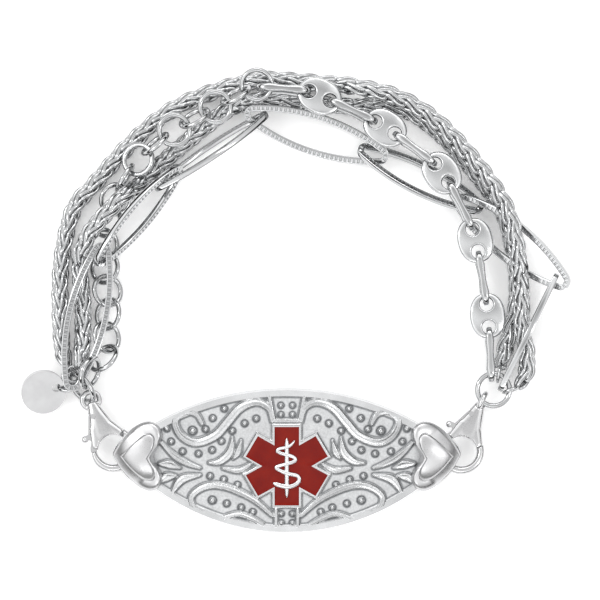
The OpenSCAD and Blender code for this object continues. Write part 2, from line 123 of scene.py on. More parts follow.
# The room is brighter at the back left, and a few soft dark flags hang in it
side = add_node(sky, "ShaderNodeMath", {"operation": "SUBTRACT"},
                {0: height.outputs["Y"], 1: height.outputs["X"]})
fall = add_node(sky, "ShaderNodeMapRange",
                {"From Min": -0.9, "From Max": 0.9, "To Min": 0.82, "To Max": 1.06}, {0: side})
flags = add_node(sky, "ShaderNodeTexNoise", {"Scale": 1.7, "Detail": 0.0},
                 {"Vector": aim.outputs["Generated"]})
flag = add_node(sky, "ShaderNodeMapRange",
                {"From Min": 0.3, "From Max": 0.46, "To Min": 0.6, "To Max": 1.0}, {0: flags})
dim = add_node(sky, "ShaderNodeMath", {"operation": "MULTIPLY"}, {0: fall, 1: flag})
ROOM_POWER = 1.8
power = add_node(sky, "ShaderNodeMath", {"operation": "MULTIPLY", 1: ROOM_POWER}, {0: dim})
glow = add_node(sky, "ShaderNodeBackground", links={0: room, 1: power})
add_node(sky, "ShaderNodeOutputWorld", links={0: glow})


def set_out(name, data):
    """Puts an object of its own into the scene."""
    made = bpy.data.objects.new(name, data)
    bpy.context.collection.objects.link(made)
    return made


def soft_box(name, spot, wide, deep, watts):
    """A large rectangular lamp that points at the bracelet."""
    lamp = bpy.data.lights.new(name, "AREA")
    lamp.shape = "RECTANGLE"
    lamp.size, lamp.size_y, lamp.energy = wide, deep, watts
    box = set_out(name, lamp)
    box.location = spot
    box.rotation_euler = (-Vector(spot)).to_track_quat("-Z", "Y").to_euler()


soft_box("soft_box_left", (-0.35, 0.12, 0.36), 0.05, 0.3, 0.32)
soft_box("soft_box_right", (0.3, -0.15, 0.4), 0.04, 0.3, 0.22)
soft_box("soft_box_back", (0.02, 0.42, 0.3), 0.3, 0.05, 0.26)
soft_box("soft_box_front", (-0.05, -0.4, 0.25), 0.25, 0.04, 0.14)

# The camera's rise, its distance and the width of its view in metres
CAMERA_RISE = math.radians(82)
CAMERA_AWAY, VIEW_WIDE = 0.6, 0.0834
FILM_WIDE = 36
camera_data = bpy.data.cameras.new("studio_camera")
camera_data.sensor_width = FILM_WIDE
camera_data.lens = FILM_WIDE * CAMERA_AWAY / VIEW_WIDE
camera_data.clip_start, camera_data.clip_end = 0.01, 10
camera = set_out("studio_camera", camera_data)
target = Vector((0.00058, 0.00033, 0.0))
camera.location = target + CAMERA_AWAY * Vector((0, -math.cos(CAMERA_RISE), math.sin(CAMERA_RISE)))
camera.rotation_euler = (target - camera.location).to_track_quat("-Z", "Y").to_euler()
bpy.context.scene.camera = camera
# Plain tone curve, as in a catalogue picture: white card comes out white
bpy.context.scene.view_settings.view_transform = "Standard"

# ------------ plaque
# The plaque is cast in stainless steel: a lens-shaped plate with a polished rim, bent to the
# wrist. Its ground is frosted, and the scrolls, leaves and beads cast on it are polished.

# Sizes in mm, as in the source; MIDDLE is the place of the drawing's middle
MIDDLE = np.array([0.58, 0.33, 0.1])
PLATE_LEN, PLATE_WID, BEND_RAD = 46.6, 19.8, 60.0
RIM_WID, RIM_HIGH = 0.8, 0.35
PLAQUE_TILT = math.radians(19)
PLAQUE_AT = np.array([-1.8, -23.3, 8.25]) + MIDDLE
STAR_ARM, STAR_WID, STAR_DROP, STAR_LINE = 5.5, 3.35, 0.7, 0.35
# The relief's net and how far its ground lies over the plate; heights and widths of its forms
RELIEF_STEP, RELIEF_LIFT, GROOVE_DEEP = 0.088, 0.13, 0.12
SCROLL_HIGH, SCROLL_EDGE, BEAD_DIA, BEAD_SWELL = 0.3, 0.2, 0.85, 0.8
RIM_FALL, WALL_HIGH, WALL_FALL = 0.15, 0.3, 0.12


def smooth(rows, steps):
    """The smooth line through rows that the source uses, with so many steps from row to row."""
    rows = [np.array(r, float) for r in rows]
    out = []
    for i in range(len(rows) - 1):
        a, b, c = rows[max(i - 1, 0)], rows[i], rows[i + 1]
        d = rows[min(i + 2, len(rows) - 1)]
        for s in range(steps):
            t = s / steps
            out.append(0.5 * (2 * b + (c - a) * t + (2 * a - 5 * b + 4 * c - d) * t * t
                              + (3 * b - a - 3 * c + d) * t ** 3))
    return np.array(out + [rows[-1]])


def add_piece(name, points, faces, material, nodes=(), sharp=None):
    """Makes a piece from points in mm; it rides on the bracelet and may stand for CAD nodes."""
    mesh = bpy.data.meshes.new(name)
    mesh.from_pydata((np.asarray(points) / 1000).tolist(), [], faces)
    mesh.update()
    mesh.shade_smooth()
    if sharp:
        mesh.set_sharp_from_angle(angle=math.radians(sharp))
    mesh.materials.append(material)
    piece = set_out(name, mesh)
    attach(piece, "bracelet")
    if nodes:
        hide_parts(*nodes)
    return piece


def leaned(x, y, z):
    """Leans points of the level plaque and puts them in its place."""
    c, s = math.cos(PLAQUE_TILT), math.sin(PLAQUE_TILT)
    return np.stack([x, y * c - z * s, y * s + z * c], axis=-1) + PLAQUE_AT


def on_plaque(x, y, high):
    """Places points of the flat drawing on the bent, leaning plate."""
    return leaned(x, y, np.sqrt((BEND_RAD + high) ** 2 - x ** 2) - BEND_RAD)


def polished_steel(name, tone, rough, grime=0.25):
    """Stainless steel polished on a buff: mirror bright, with hair scratches and a thin haze.
    The haze comes in patches of 3 mm. A buff's hairs are near 0.01 mm, too fine to show, so
    they are drawn 0.2 mm apart."""
    material, tree = new_material(name)
    haze = add_node(tree, "ShaderNodeTexNoise", {"Scale": 1.0, "Detail": 3.0},
                    {"Vector": real_place(tree, 0.35)})
    shade = add_node(tree, "ShaderNodeValToRGB", links={"Fac": haze})
    dull, clear = shade.color_ramp.elements
    dull.position, clear.position = 0.3, 0.7
    dull.color = [v * (1 - grime * 0.5) for v in colour(tone)[:3]] + [1.0]
    clear.color = colour(tone)
    hair = add_node(tree, "ShaderNodeTexNoise", {"Scale": 1.0, "Detail": 4.0},
                    {"Vector": real_place(tree, 5)})
    polish = add_node(tree, "ShaderNodeMapRange", {"To Min": rough * 0.6, "To Max": rough * 1.5},
                      {0: hair})
    dents = add_node(tree, "ShaderNodeBump", {"Strength": 0.05, "Distance": 0.00002},
                     {"Height": hair})
    return end_material(material, {"Metallic": 1.0},
                        {"Base Color": shade, "Roughness": polish, "Normal": dents})


def cast_steel():
    """Cast stainless steel: the raised work is buffed bright, the ground between is frosted, and
    the grooves beside the scrolls and beads are painted dark, painted shade in the recesses
    together with a darker scale from the mould. The frost's grit is near 0.05 mm, too fine to show,
    so it is drawn at 0.25 mm."""
    material, tree = new_material("cast_steel_frosted_ground")
    rise = add_node(tree, "ShaderNodeAttribute", {"attribute_name": "rise"})
    grit = add_node(tree, "ShaderNodeTexNoise", {"Scale": 1.0, "Detail": 3.0},
                    {"Vector": real_place(tree, 4)})
    cloud = add_node(tree, "ShaderNodeTexNoise", {"Scale": 1.0, "Detail": 2.0},
                     {"Vector": real_place(tree, 0.4)})
    level = add_node(tree, "ShaderNodeMapRange", {"From Min": -GROOVE_DEEP, "From Max": 0.24},
                     {0: rise.outputs["Fac"]})
    # From the bottom of a groove, 0, over the ground, 0.33, to the top of a scroll, 1
    tone = add_node(tree, "ShaderNodeValToRGB", links={"Fac": level})
    # The near black at a groove's bottom and the grey step at 0.2 are painted shade in the
    # recesses, along with some darker mould scale
    tone.color_ramp.elements[0].color = colour("#303234")
    tone.color_ramp.elements[1].color = colour("#bcbdbe")
    for spot, code in ((0.2, "#8a8c8e"), (0.33, "#c7c8c9"), (0.5, "#b4b5b6")):
        tone.color_ramp.elements.new(spot).color = colour(code)
    speck = add_node(tree, "ShaderNodeMapRange",
                     {"From Min": 0.3, "From Max": 0.7, "To Min": 0.86, "To Max": 1.1}, {0: grit})
    drift = add_node(tree, "ShaderNodeMapRange",
                     {"From Min": 0.3, "From Max": 0.7, "To Min": 0.93, "To Max": 1.05}, {0: cloud})
    both = add_node(tree, "ShaderNodeMath", {"operation": "MULTIPLY"}, {0: speck, 1: drift})
    shade = add_node(tree, "ShaderNodeMix",
                     {"data_type": "RGBA", "blend_type": "MULTIPLY", 0: 1.0}, {6: tone, 7: both})
    polish = add_node(tree, "ShaderNodeMapRange",
                      {"From Min": 0.35, "From Max": 0.8, "To Min": 0.5, "To Max": 0.2}, {0: level})
    deep = add_node(tree, "ShaderNodeMapRange",
                    {"From Min": 0.35, "From Max": 0.7, "To Min": 0.4, "To Max": 0.04}, {0: level})
    frost = add_node(tree, "ShaderNodeBump", {"Distance": 0.00006},
                     {"Height": grit, "Strength": deep})
    return end_material(material, {"Metallic": 1.0},
                        {"Base Color": shade.outputs[2], "Roughness": polish, "Normal": frost})


def show_node(name, material):
    """Gives a CAD node that stays shown its finish."""
    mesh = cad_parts[name].data
    mesh.materials.clear()
    mesh.materials.append(material)


# Rim, edge and underside: the casting, polished smooth but short of a mirror
plate_steel = polished_steel("polished_cast_steel", "#c8c9ca", 0.2)
show_node("id_plaque", plate_steel)

# Scrolls and leaves of one half, each row x, y and width in shares of the plate's half width
SCROLLS = [
    [[0.2, 0.56, 0.06], [0.25, 0.75, 0.09], [0.42, 0.83, 0.11], [0.64, 0.74, 0.12],
     [0.82, 0.53, 0.125], [0.99, 0.34, 0.125], [1.26, 0.23, 0.12], [1.46, 0.32, 0.11],
     [1.54, 0.51, 0.1], [1.42, 0.65, 0.09], [1.25, 0.63, 0.08], [1.17, 0.5, 0.06]],
    [[0.2, -0.77, 0.06], [0.47, -0.54, 0.09], [0.84, -0.38, 0.1], [1.11, -0.38, 0.1],
     [1.31, -0.52, 0.09], [1.29, -0.68, 0.08], [1.15, -0.73, 0.05]],
    [[0.33, -0.9, 0.06], [0.5, -0.81, 0.08], [0.68, -0.76, 0.08], [0.91, -0.83, 0.06]],
    [[0.75, 0.32, 0.03], [0.78, 0.12, 0.11], [0.92, -0.02, 0.1], [1.07, -0.05, 0.04]],
    [[1.2, -0.13, 0.04], [1.38, -0.07, 0.08], [1.56, 0.03, 0.09], [1.74, 0.2, 0.05]],
    [[1.2, -0.23, 0.04], [1.45, -0.3, 0.12], [1.59, -0.5, 0.05]],
    [[1.48, -0.14, 0.04], [1.62, -0.1, 0.12], [1.76, -0.1, 0.05]],
    [[1.54, -0.26, 0.04], [1.66, -0.28, 0.12], [1.76, -0.36, 0.05]],
    [[0.63, 0.28, 0.03], [0.67, 0.12, 0.09], [0.74, 0.02, 0.03]],
    [[0.5, -0.05, 0.05], [0.66, -0.14, 0.09], [0.88, -0.12, 0.04]]]
# Straight bands beside the two boxes of beads, and their width
BANDS = [[[0.24, 0.9], [0.18, 0.6]], [[0, 0.57], [0.18, 0.57]], [[0.15, -0.69], [0.15, -0.92]]]
BAND_WID = 0.06
# Beads of one half: x, y and size
BEADS = [
    [0.08, 0.78, 0.9], [0.08, 0.65, 0.9], [0.076, -0.75, 0.9], [0.076, -0.88, 0.9],
    [0.42, 0.59, 1], [0.58, 0.52, 1], [0.75, 0.41, 1], [0.9, 0.26, 1], [1.03, 0.13, 1],
    [1.22, 0.07, 1], [1.44, 0.09, 1], [1.6, 0.22, 1], [1.66, 0.4, 1], [0.86, 0.72, 1],
    [1.02, 0.58, 1], [1.12, 0.42, 1], [1.3, 0.39, 1.3], [0.68, -0.35, 1], [0.87, -0.28, 1],
    [1.06, -0.24, 1], [0.47, -0.73, 1], [0.63, -0.67, 1], [0.83, -0.62, 1], [1.03, -0.58, 1.2]]


def lens_inside(x, y):
    """How far inside the plate's lens outline a point lies; negative is outside."""
    rad = (PLATE_LEN ** 2 / 4 + PLATE_WID ** 2 / 4) / PLATE_WID
    far = np.maximum(np.hypot(x, y - PLATE_WID / 2 + rad), np.hypot(x, y + PLATE_WID / 2 - rad))
    return rad - far


def star_inside(x, y):
    """How far inside the star's outline a point lies."""
    best = np.full_like(x, -99.0)
    for turn in (0, 60, 120):
        c, s = math.cos(math.radians(turn)), math.sin(math.radians(turn))
        u, v = x * c + (y + STAR_DROP) * s, -x * s + (y + STAR_DROP) * c
        best = np.maximum(best, np.minimum(STAR_WID / 2 - abs(u), STAR_ARM - abs(v)))
    return best


def ridge(x, y, rows):
    """Distance inside a scroll's edge, negative outside it, and the share of the way to its
    middle."""
    best, share = np.full_like(x, -9.0), np.zeros_like(x)
    for p, q in zip(rows[:-1], rows[1:]):
        run = q[:2] - p[:2]
        t = np.clip(((x - p[0]) * run[0] + (y - p[1]) * run[1]) / max(run @ run, 1e-9), 0, 1)
        half = (p[2] + (q[2] - p[2]) * t) / 2
        inside = half - np.hypot(x - p[0] - run[0] * t, y - p[1] - run[1] * t)
        share = np.where(inside > best, inside / half, share)
        best = np.maximum(best, inside)
    return best, share


def furrow(off, width, share):
    """How deep a groove is so far off its middle, as a share of the deepest."""
    return share * np.exp(-(off / width) ** 2)


def grid_faces(keep):
    """Faces of the grid's squares that are wholly kept, and the points that they use."""
    full = keep[:-1, :-1] & keep[1:, :-1] & keep[:-1, 1:] & keep[1:, 1:]
    used = np.zeros_like(keep)
    for dx in (0, 1):
        for dy in (0, 1):
            used[dx:dx + full.shape[0], dy:dy + full.shape[1]] |= full
    number = np.full(keep.shape, -1)
    number[used] = np.arange(used.sum())
    i, j = np.nonzero(full)
    corners = [number[i, j], number[i + 1, j], number[i + 1, j + 1], number[i, j + 1]]
    return np.stack(corners, 1).tolist(), used


def engraving():
    """The cast relief as one fine sheet that lies on the plate inside its rim."""
    half = PLATE_WID / 2
    x, y = np.meshgrid(np.arange(-PLATE_LEN / 2, PLATE_LEN / 2 + RELIEF_STEP, RELIEF_STEP),
                       np.arange(-half, half + RELIEF_STEP, RELIEF_STEP), indexing="ij")
    high = np.zeros_like(x)
    groove = np.zeros_like(x)
    lines = [smooth(rows, 6) * half for rows in SCROLLS]
    lines += [np.array([[p[0] * half, p[1] * half, BAND_WID * half] for p in rows])
              for rows in BANDS]
    for side in (-1, 1):
        for rows in lines:
            inside, share = ridge(x, y, rows * [side, 1, 1])
            rounded = np.sqrt(1 - (1 - np.clip(inside / SCROLL_EDGE, 0, 1)) ** 2)
            # Each scroll is hollowed a little along its middle
            hollow = 0.3 * np.clip((share - 0.35) / 0.45, 0, 1)
            band = SCROLL_HIGH * (rounded - hollow)
            high = np.where(inside > 0, np.maximum(high, band), high)
            groove = np.maximum(groove, furrow(inside + 0.08, 0.11, 0.8))
        for bx, by, size in BEADS:
            away = np.hypot(x - side * bx * half, y - by * half)
            rad = BEAD_DIA / 2 * size
            core = 0.8 * rad
            bead = BEAD_SWELL * np.sqrt(np.clip(core ** 2 - away ** 2, 0, None))
            high = np.where(away < core, bead, high)
            groove = np.maximum(groove, furrow(away - 1.08 * rad, 0.12, 0.95))
            groove = np.where(away < 0.78 * rad, 0, groove)
    inside = lens_inside(x, y)
    edge = RIM_HIGH * 0.5 * np.clip(1 - (inside - RIM_WID) / RIM_FALL, 0, 1)
    groove = np.maximum(groove, furrow(inside - RIM_WID - 0.22, 0.09, 0.8))
    star = star_inside(x, y)
    wall = WALL_HIGH * np.clip(1 - (-star - STAR_LINE) / WALL_FALL, 0, 1)
    groove = np.maximum(groove, furrow(-star - STAR_LINE - 0.15, 0.08, 0.5))
    high = high - np.where(high > 0.05, 0, GROOVE_DEEP * groove)
    for rise in (edge, wall):
        high = np.where(rise > 0, np.maximum(high, rise), high)
    # Buffing rounds every edge of the work a little
    for axis in (0, 1):
        high = (np.roll(high, 1, axis) + 2 * high + np.roll(high, -1, axis)) / 4
    # The sheet ends in the rim and in the well's wall
    faces, used = grid_faces((inside > 0.35) & (star < -0.15))
    sheet = add_piece("plaque_engraving", on_plaque(x, y, high + RELIEF_LIFT)[used], faces,
                      cast_steel())
    # Each point's height goes to the material as "rise": it sets the tones, with painted shade in
    # the grooves' bottoms
    rise = sheet.data.attributes.new("rise", "FLOAT", "POINT")
    rise.data.foreach_set("value", high[used].astype(np.float32))


engraving()

# ------------ star
# The six-armed medical star is a well in the plate, filled with opaque dark red enamel that is
# fired and draws up a little at the walls. A rod and a serpent of bright steel stand in it.

# How far the enamel's face lies under the rim, and how high and how wide it draws up
ENAMEL_SUNK, DRAW_HIGH, DRAW_WIDE = 0.15, 0.08, 0.18


def fired_enamel():
    """Opaque vitreous enamel: glossy, with the faint waves and specks of a fired surface. The
    colour drifts in patches of 2 mm, and the waves are 0.8 mm long."""
    material, tree = new_material("fired_red_enamel")
    cloud = add_node(tree, "ShaderNodeTexNoise", {"Scale": 1.0, "Detail": 3.0},
                     {"Vector": real_place(tree, 0.5)})
    tone = add_node(tree, "ShaderNodeValToRGB", links={"Fac": cloud})
    dark, light = tone.color_ramp.elements
    dark.position, light.position = 0.3, 0.72
    dark.color, light.color = colour("#700e07"), colour("#7e1607")
    wave = add_node(tree, "ShaderNodeTexNoise", {"Scale": 1.0, "Detail": 1.0},
                    {"Vector": real_place(tree, 1.2)})
    gloss = add_node(tree, "ShaderNodeMapRange", {"To Min": 0.14, "To Max": 0.26}, {0: wave})
    skin = add_node(tree, "ShaderNodeBump", {"Strength": 0.15, "Distance": 0.00005},
                    {"Height": wave})
    return end_material(material, {"IOR": 1.52, "Specular IOR Level": 0.15},
                        {"Base Color": tone, "Roughness": gloss, "Normal": skin})


def enamel_fill():
    """The enamel's face, drawn up at the walls of the well."""
    step = 0.1
    reach = STAR_ARM + 0.3
    xs = np.arange(-reach, reach + step, step)
    x, y = np.meshgrid(xs, xs - STAR_DROP, indexing="ij")
    star = star_inside(x, y)
    high = RIM_HIGH - ENAMEL_SUNK + DRAW_HIGH * np.exp(-np.clip(star, 0, None) / DRAW_WIDE)
    faces, used = grid_faces(star > -0.16)
    add_piece("star_enamel", on_plaque(x, y, high)[used], faces, fired_enamel(),
              ["enamel_star"])


enamel_fill()


def unit(rows):
    """Directions of length one."""
    return rows / np.linalg.norm(rows, axis=-1, keepdims=True)


def net_faces(rows, sides, closed=False, over=False):
    """Faces between rows of points that run round; closed joins the last row to the first, and
    over turns them over."""
    faces = [[r * sides + k, r * sides + (k + 1) % sides,
              (r + 1) % rows * sides + (k + 1) % sides, (r + 1) % rows * sides + k]
             for r in range(rows if closed else rows - 1) for k in range(sides)]
    return [f[:1] + f[:0:-1] for f in faces] if over else faces


def sweep(path, wide, thick, up, closed=False, sides=12, square=1.0):
    """A bar along a path: wide across it and thick along up, both as half sizes. Square is 1
    for a round bar, and less for a squarer one."""
    path = np.asarray(path, float)
    count = len(path)
    if closed:
        ahead = unit(np.roll(path, -1, 0) - np.roll(path, 1, 0))
    else:
        ahead = unit(np.gradient(path, axis=0))
    up = np.broadcast_to(np.asarray(up, float), path.shape)
    side = unit(np.cross(up, ahead))
    over = np.cross(ahead, side)
    a = 2 * math.pi * (np.arange(sides) + 0.5) / sides
    cs = np.sign(np.cos(a)) * abs(np.cos(a)) ** square
    sn = np.sign(np.sin(a)) * abs(np.sin(a)) ** square
    wide = np.broadcast_to(wide, count)[:, None, None]
    thick = np.broadcast_to(thick, count)[:, None, None]
    points = (path[:, None] + wide * cs[None, :, None] * side[:, None]
              + thick * sn[None, :, None] * over[:, None]).reshape(-1, 3)
    faces = net_faces(count, sides, closed)
    if not closed:
        faces += [list(range(sides))[::-1], list(range((count - 1) * sides, count * sides))]
    return points, faces


def joined(parts):
    """Several meshes as one."""
    points, faces, start = [], [], 0
    for p, f in parts:
        points.append(p)
        faces += [[v + start for v in face] for face in f]
        start += len(p)
    return np.concatenate(points), faces


# The rod's top and foot in shares of the star's arm, its half width and half thickness in mm
ROD_TOP, ROD_FOOT, ROD_HALF, ROD_THICK = 0.72, -0.8, 0.33, 0.24
# The serpent's way from head to tail, x, y and width, in shares of the star's arm
SERPENT = [[0.2, 0.66, 0.2], [0.13, 0.57, 0.36], [0.02, 0.49, 0.46], [-0.17, 0.45, 0.5],
           [-0.24, 0.39, 0.5], [-0.14, 0.33, 0.5], [0.03, 0.29, 0.52], [0.17, 0.23, 0.54],
           [0.215, 0.16, 0.54], [0.13, 0.1, 0.54], [-0.06, 0.05, 0.52], [-0.27, -0.03, 0.5],
           [-0.12, -0.13, 0.54], [0.06, -0.19, 0.56], [0.25, -0.24, 0.58], [0.31, -0.34, 0.6],
           [0.24, -0.45, 0.62], [0.05, -0.52, 0.64], [-0.16, -0.49, 0.66], [-0.35, -0.43, 0.62]]
SERPENT_THICK = 0.21
# Cast steel buffed to a high shine, the palest metal of the bracelet
bright_steel = polished_steel("bright_steel", "#e2e2e3", 0.24)


def rod_and_serpent():
    """A round-topped rod with a serpent wound round it, both half sunk in the enamel."""
    level, steps = RIM_HIGH - 0.12, 24
    y = np.linspace(ROD_TOP, ROD_FOOT, steps) * STAR_ARM
    girth = ROD_HALF * np.sqrt(np.clip(1 - np.linspace(-1, 1, steps) ** 8, 0.02, 1))
    lean = [0, -math.sin(PLAQUE_TILT), math.cos(PLAQUE_TILT)]
    line = on_plaque(np.zeros(steps), y - STAR_DROP, np.full(steps, level))
    rod = sweep(line, girth, ROD_THICK, lean)
    rows = smooth(SERPENT, 6)
    from_end = np.minimum(np.arange(len(rows)), np.arange(len(rows))[::-1])
    ends = np.clip(from_end / 4 + 0.25, 0, 1)
    coil = on_plaque(rows[:, 0] * STAR_ARM, rows[:, 1] * STAR_ARM - STAR_DROP,
                     level + 0.08 + 0.07 * np.cos(rows[:, 0] * 9))
    snake = sweep(coil, rows[:, 2] / 2 * ends, SERPENT_THICK * ends, lean)
    points, faces = joined([rod, snake])
    add_piece("rod_and_serpent", points, faces, bright_steel)


rod_and_serpent()

# ------------ hearts
# A puffed heart is cast on each end of the plaque, its tip outwards: a broad rounded border and
# a raised middle, buffed bright. The bail behind it is part of the plaque.

HEART_LEN, HEART_WID, HEART_AT = 7.25, 9.6, 20.35
# Half of the heart's outline from its tip, in shares of its length and width
HEART_HALF = [[0.5, 0], [0.46, 0.06], [0.35, 0.19], [0.21, 0.31], [0.06, 0.41], [-0.1, 0.48],
              [-0.26, 0.5], [-0.4, 0.46], [-0.48, 0.38], [-0.49, 0.28], [-0.43, 0.17],
              [-0.35, 0.08], [-0.31, 0]]
# Half of the raised heart's outline in mm, with as many points
PUFF_HALF = [[1.9, 0], [1.72, 0.17], [1.05, 0.87], [0.35, 1.6], [-0.3, 2.25], [-0.95, 2.82],
             [-1.5, 3.2], [-2.1, 3.3], [-2.62, 2.95], [-2.8, 2.25], [-2.65, 1.4], [-2.25, 0.6],
             [-1.95, 0]]
# The border runs from the outer outline to the raised heart: share of the way, least height
BORDER = [(-0.01, -0.5), (-0.02, 0.0), (-0.02, 0.3), (0.0, 0.45), (0.05, 0.6), (0.12, 0.72),
          (0.22, 0.84), (0.36, 0.93), (0.5, 0.99), (0.7, 1.03), (0.88, 1.05), (0.95, 1.04)]
# The raised heart: share of its size, and how far it stands above the heart's dome
PUFF = [(1.0, 0.02), (0.985, 0.17), (0.96, 0.26), (0.92, 0.3), (0.82, 0.31), (0.68, 0.31),
        (0.52, 0.31), (0.36, 0.31), (0.2, 0.31), (0.08, 0.31)]
PUFF_MID = np.array([-1.1, 0])
# The dome: its crown, the radius of its ball, and its room over the source's heart
HEART_CROWN, HEART_BALL, HEART_LIFT = 1.9, 6.98, 0.06
# Cast steel buffed on a soft wheel, with a broad soft shine over the swell
heart_steel = polished_steel("buffed_heart_steel", "#cbcbcc", 0.3)


def whole_outline(half):
    """A closed outline from its half."""
    half = smooth(half, 6)
    return np.concatenate([half, half[-2:0:-1] * [1, -1]])


def heart_dome(spot):
    """Height of the heart's dome over flat points."""
    return (HEART_CROWN - HEART_BALL + np.sqrt(HEART_BALL ** 2 - (spot ** 2).sum(1))) + HEART_LIFT


def heart(name, side):
    """One heart as rings from its outline to its middle, each at its height."""
    outer = whole_outline(HEART_HALF) * [HEART_LEN, HEART_WID]
    inner = whole_outline(PUFF_HALF)
    count = len(outer)
    rings = []
    for share, least in BORDER:
        spot = outer + (inner - outer) * share
        high = np.maximum(least, heart_dome(spot) * min(1, max(0, share) / 0.22))
        rings.append(np.column_stack([spot, high]))
    for share, lift in PUFF:
        spot = PUFF_MID + (inner - PUFF_MID) * share
        rings.append(np.column_stack([spot, heart_dome(spot) + lift]))
    top = heart_dome(PUFF_MID[None])[0] + PUFF[-1][1]
    points = np.concatenate(rings + [np.array([[*PUFF_MID, top]])])
    last = (len(rings) - 1) * count
    faces = net_faces(len(rings), count)
    faces += [[last + k, last + (k + 1) % count, last + count] for k in range(count)]
    turn = math.asin(HEART_AT / BEND_RAD)
    c, s = math.cos(turn), math.sin(turn)
    x = HEART_AT + points[:, 0] * c + points[:, 2] * s
    z = BEND_RAD * (c - 1) - points[:, 0] * s + points[:, 2] * c
    if side < 0:
        x = -x
        faces = [f[::-1] for f in faces]
    add_piece(name, leaned(x, points[:, 1], z), faces, heart_steel)


heart("heart_left", -1)
heart("heart_right", 1)

# ------------ clasps
# Lobster clasps are cast in steel and tumbled smooth: the body, with a rounded hook, a lever on
# a rivet, and a ball on the lever for the fingernail.

# Tumbled with steel shot: bright and even, with every edge softened
clasp_steel = polished_steel("tumbled_clasp_steel", "#cfcfd0", 0.2, 0.12)
# Places of the two clasps: eye x, y, z, the way they point, and how far the eye is turned
CLASP_PLACES = {"left": [-28.85, -14.3, 2.15, -69, 0], "right": [25.1, -14.45, 2.15, -116, 90]}
CLASP_THICK, LEVER_ROOM = 2.2, 1.16
EYE_RAD, EYE_WIRE = 1.18, 0.8
HOOK_MID = np.array([7.45, 0.45])
HOOK_RAD, HOOK_WIRE, HOOK_HOLE = 2.65, 1.1, 2.08
# The hook's wire runs from its tip to its root, in degrees, and thins towards the tip
HOOK_TIP, HOOK_ROOT, HOOK_THIN = -96, 150, -98
LEVER_PIVOT = [2.3, -0.55]
# Swelling parts of the body: from, to, half width at each
CLASP_BARS = [[[0.9, 0], [4.7, 0.05], 0.85, 1.95], [[4.2, -0.75], [6.1, -1.5], 1.2, 0.8],
              [[4.4, 0.9], [5.6, 1.9], 1.15, 0.9]]
# Room that the lever turns in, drawn the same way
LEVER_SLOT = [[LEVER_PIVOT, [6.9, -1.9], 0.75, 0.9], [LEVER_PIVOT, [6.6, -0.1], 0.75, 0.9],
              [[3.2, -1.6], [5.6, -3.1], 0.6, 1.4]]
# Grain of the body's skin before it is cut, and of the whole clasp after
ROUGH_GRAIN, FINE_GRAIN = 0.1, 0.075


def blob(spot, wide, thick):
    """A flattened ball."""
    rows, cols = 9, 16
    lat = math.pi * np.arange(1, rows) / rows
    lon = 2 * math.pi * np.arange(cols) / cols
    ring = [[wide * math.sin(a) * math.cos(o), wide * math.sin(a) * math.sin(o),
             thick * math.cos(a)] for a in lat for o in lon]
    points = np.array(ring + [[0, 0, thick], [0, 0, -thick]]) + spot
    faces = net_faces(rows - 1, cols, over=True)
    top, bottom, last = (rows - 1) * cols, (rows - 1) * cols + 1, (rows - 2) * cols
    faces += [[k, (k + 1) % cols, top] for k in range(cols)]
    faces += [[last + (k + 1) % cols, last + k, bottom] for k in range(cols)]
    return points, faces


def prism(outline, half):
    """An upright block with a convex outline."""
    n = len(outline)
    points = np.concatenate([np.column_stack([outline, np.full(n, h)]) for h in (-half, half)])
    faces = [[k, (k + 1) % n, n + (k + 1) % n, n + k] for k in range(n)]
    return points, faces + [list(range(n))[::-1], list(range(n, 2 * n))]


def bar_outline(p, q, r0, r1):
    """Convex outline round two circles."""
    p, q = np.array(p), np.array(q)
    way = math.atan2(*(q - p)[::-1])
    lean = math.acos((r0 - r1) / np.linalg.norm(q - p))
    far = way + np.linspace(-lean, lean, 17)
    near = way + np.linspace(lean, 2 * math.pi - lean, 17)
    return np.concatenate([q + r1 * np.stack([np.cos(far), np.sin(far)], 1),
                           p + r0 * np.stack([np.cos(near), np.sin(near)], 1)])


def rough_object(points, faces):
    """A scratch object in mm."""
    mesh = bpy.data.meshes.new("scratch")
    mesh.from_pydata(np.asarray(points).tolist(), [], faces)
    return set_out("scratch", mesh)


def settle(made):
    """Puts the result of an object's modifiers into its mesh."""
    seen = made.evaluated_get(bpy.context.evaluated_depsgraph_get())
    mesh = bpy.data.meshes.new_from_object(seen)
    made.modifiers.clear()
    made.data = mesh


def mesh_parts(made):
    """An object's points and faces."""
    points = np.zeros(len(made.data.vertices) * 3)
    made.data.vertices.foreach_get("co", points)
    return points.reshape(-1, 3), [list(p.vertices) for p in made.data.polygons]


def remesh(made, grain):
    """Skins an object anew in one closed surface."""
    skin = made.modifiers.new("skin", "REMESH")
    skin.mode, skin.voxel_size = "VOXEL", grain
    settle(made)


